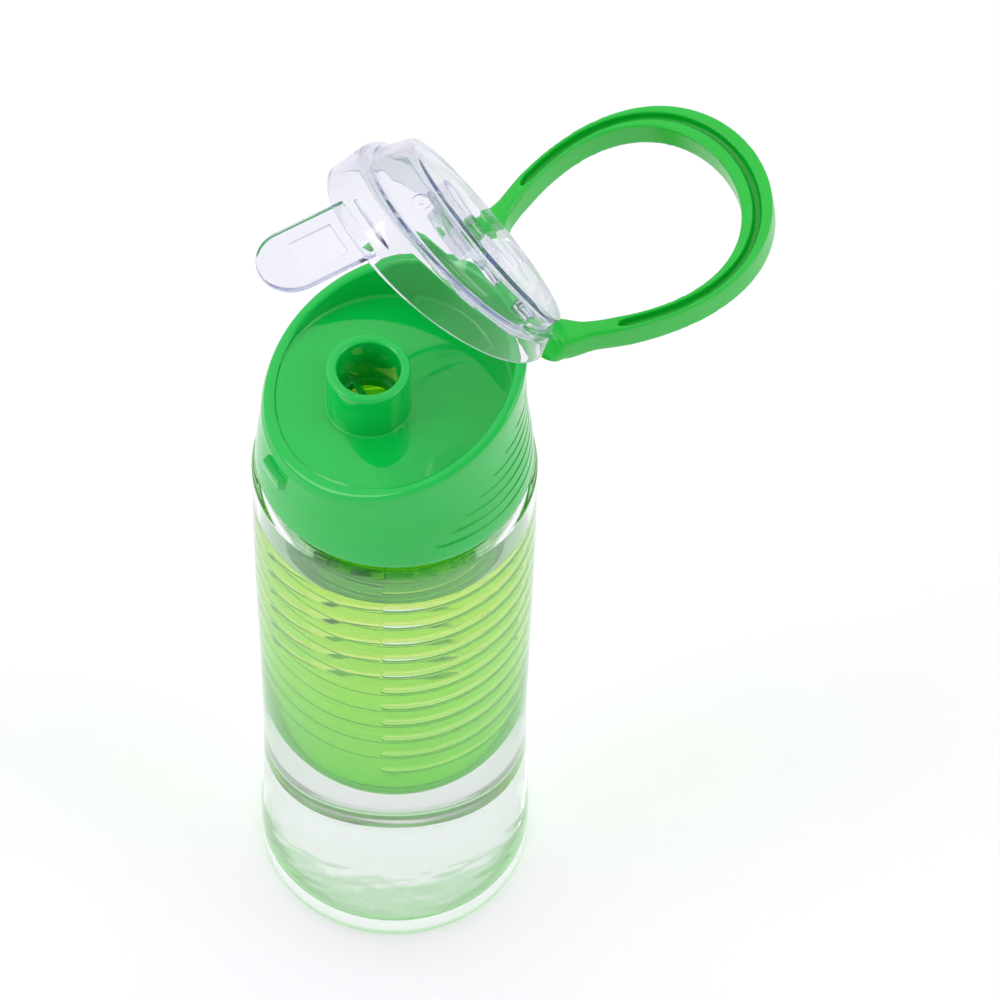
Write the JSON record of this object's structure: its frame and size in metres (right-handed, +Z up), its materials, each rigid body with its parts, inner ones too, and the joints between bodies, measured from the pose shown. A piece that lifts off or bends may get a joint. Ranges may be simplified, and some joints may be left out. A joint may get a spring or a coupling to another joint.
{
  "type": "drinking bottle",
  "caption": "Clear infuser drinking bottle with a screw lid, spout, hinged flip cover, carry loop and slotted basket.",
  "frame": {"origin": "centre of the flat foot that the bottle stands on", "axes": "+Z up along the bottle, -Y the front with the cover's tab, +X along the hinge axis"},
  "size_m": [0.073, 0.1419, 0.2811],
  "materials": {
    "clear_plastic": "clear, polished",
    "green_plastic": "satin moulded plastic",
    "silicone": "soft, milky",
    "tinted_plastic": "translucent yellow-green",
    "cover_plastic": "clear, faintly grey",
    "loop_plastic": "satin moulded plastic"
  },
  "bodies": {
    "bottle": {"bottle_body": "clear_plastic"},
    "lid_seal": {"lid_gasket": "silicone"},
    "lid_body": {"lid": "green_plastic", "hinge_pin": "cover_plastic"},
    "basket": {"infuser_basket": "tinted_plastic"},
    "cover": {"flip_cover": "cover_plastic", "spout_seal": "silicone"},
    "loop": {"carry_loop": "loop_plastic"}
  },
  "joints": [
    {"name": "lid_rise", "type": "slide", "parent": "bottle", "child": "lid_seal", "axis": [0, 0, 1], "range_m": [0, 0.0051]},
    {"name": "lid_turn", "type": "hinge", "parent": "lid_seal", "child": "lid_body", "pos_m": [0, 0, 0.19], "axis": [0, 0, 1], "range_deg": [0, 450]},
    {"name": "basket_pull", "type": "slide", "parent": "lid_body", "child": "basket", "axis": [0, 0, 1], "range_m": [-0.02, 0]},
    {"name": "cover_hinge", "type": "hinge", "parent": "lid_body", "child": "cover", "pos_m": [0, 0.0347, 0.2206], "axis": [1, 0, 0], "range_deg": [0, 68]},
    {"name": "loop_hinge", "type": "hinge", "parent": "cover", "child": "loop", "pos_m": [0, 0.0347, 0.2206], "axis": [1, 0, 0], "range_deg": [-85, 0]}
  ],
  "couplings": [
    {"joint": "lid_rise", "follows": "lid_turn", "m_per_rad": 0.00063662}
  ]
}
